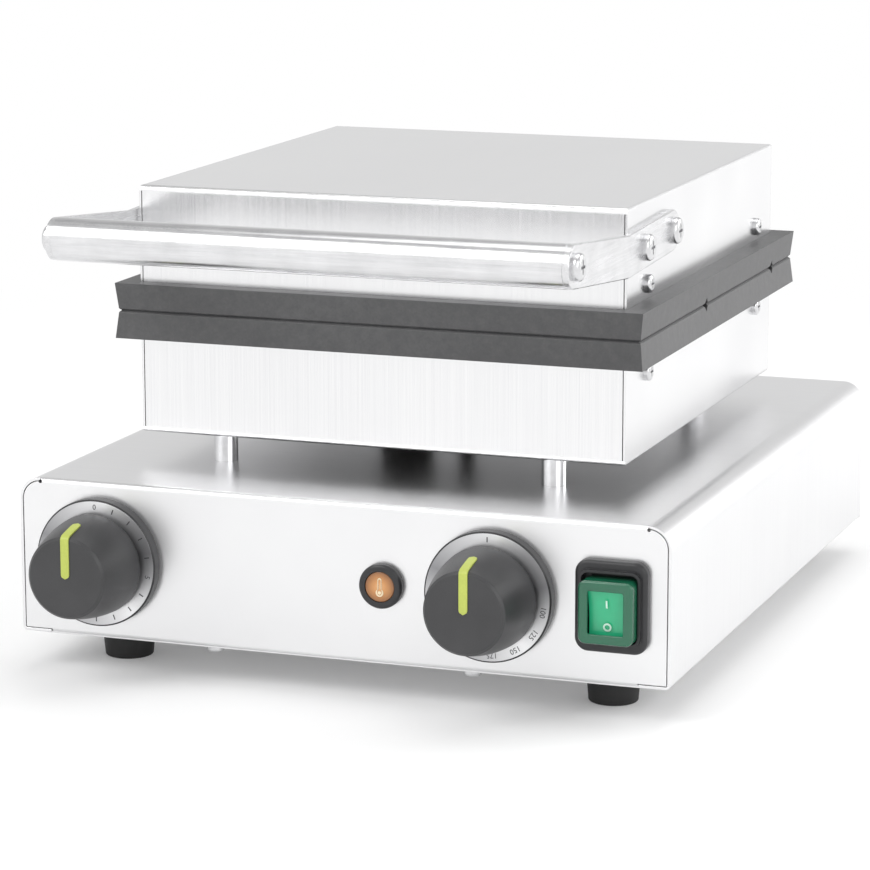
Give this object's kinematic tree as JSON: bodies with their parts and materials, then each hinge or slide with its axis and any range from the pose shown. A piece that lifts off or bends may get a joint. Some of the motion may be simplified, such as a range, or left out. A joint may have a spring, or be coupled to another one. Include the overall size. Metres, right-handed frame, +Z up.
{
  "type": "waffle on a stick maker",
  "caption": "Table-top iron that bakes fir-tree waffles on sticks between hinged cast plates, on a stainless base with timer, thermostat, lamp and rocker switch.",
  "frame": {"origin": "middle of the bounding box, on the table under the feet", "axes": "+X to the user's right, +Y from the user to the hinge, +Z up"},
  "size_m": [0.305, 0.4054, 0.2151],
  "materials": {
    "casing_steel": "brushed sheet",
    "hinge_steel": "satin plate",
    "handle_steel": "ground and polished",
    "fastener_steel": "bright",
    "cast_plate": "cast, seasoned",
    "element_steel": "heat tinted",
    "insulation_board": "mineral board",
    "foot_rubber": "moulded",
    "black_plastic": "moulded satin",
    "knob_plastic": "fine spark texture",
    "marker_yellow": "inlaid",
    "scale_metal": "satin printed",
    "lamp_amber": "clear tinted",
    "boot_green": "clear tinted",
    "rocker_green": "tinted",
    "terminal_plastic": "moulded",
    "copper_tube": "drawn"
  },
  "bodies": {
    "base": {"base_shell": "casing_steel", "rear_panel": "casing_steel", "bottom_plate": "casing_steel", "lower_casing": "casing_steel", "hinge_base_bracket": "hinge_steel", "hinge_shaft": "hinge_steel", "hinge_clips": "hinge_steel", "hinge_stop_bar": "hinge_steel", "standoffs": "handle_steel", "foot_bolts": "fastener_steel", "panel_screws": "fastener_steel", "control_screws": "fastener_steel", "standoff_bolts": "fastener_steel", "lower_clamp_bolts": "fastener_steel", "lower_casing_screws": "fastener_steel", "hinge_base_bolts": "fastener_steel", "lower_plate": "cast_plate", "lower_element": "element_steel", "lower_clamp_plate": "element_steel", "thermal_cutout": "element_steel", "lower_insulation": "insulation_board", "feet": "foot_rubber", "passage_sleeves": "foot_rubber", "timer_dial": "black_plastic", "thermostat_dial": "black_plastic", "lamp_bezel": "black_plastic", "lamp_body": "black_plastic", "switch_bezel": "black_plastic", "switch_body": "black_plastic", "cable_gland": "black_plastic", "timer_body": "black_plastic", "thermostat_body": "black_plastic", "timer_scale": "scale_metal", "thermostat_scale": "scale_metal", "lamp_lens": "lamp_amber", "switch_boot": "boot_green", "terminal_block": "terminal_plastic", "capillary": "copper_tube"},
    "lid": {"lid_casing": "casing_steel", "upper_plate": "cast_plate", "upper_element": "element_steel", "upper_clamp_plate": "element_steel", "upper_insulation": "insulation_board", "upper_clamp_bolts": "fastener_steel", "lid_casing_screws": "fastener_steel", "hinge_lid_bracket": "hinge_steel", "hinge_lid_bolts": "fastener_steel", "handle_tube": "handle_steel", "handle_end_plugs": "handle_steel", "handle_end_screws": "fastener_steel", "handle_arm_left": "handle_steel", "handle_arm_right": "handle_steel", "handle_arm_screws": "fastener_steel"},
    "timer_control": {"timer_shaft": "fastener_steel", "timer_knob": "knob_plastic", "timer_marker": "marker_yellow"},
    "thermostat_control": {"thermostat_shaft": "fastener_steel", "thermostat_knob": "knob_plastic", "thermostat_marker": "marker_yellow"},
    "rocker": {"switch_rocker": "rocker_green"}
  },
  "joints": [
    {"name": "lid_hinge", "type": "hinge", "parent": "base", "child": "lid", "pos_m": [0, 0.15675, 0.158], "axis": [-1, 0, 0], "range_deg": [0, 100]},
    {"name": "timer_turn", "type": "hinge", "parent": "base", "child": "timer_control", "pos_m": [-0.1133, -0.16325, 0.0523], "axis": [0, 1, 0], "range_deg": [0, 200]},
    {"name": "thermostat_turn", "type": "hinge", "parent": "base", "child": "thermostat_control", "pos_m": [0.072, -0.16325, 0.0523], "axis": [0, 1, 0], "range_deg": [0, 225]},
    {"name": "rocker_tilt", "type": "hinge", "parent": "base", "child": "rocker", "pos_m": [0.1271, -0.16025, 0.0523], "axis": [-1, 0, 0], "range_deg": [0, 14]}
  ]
}
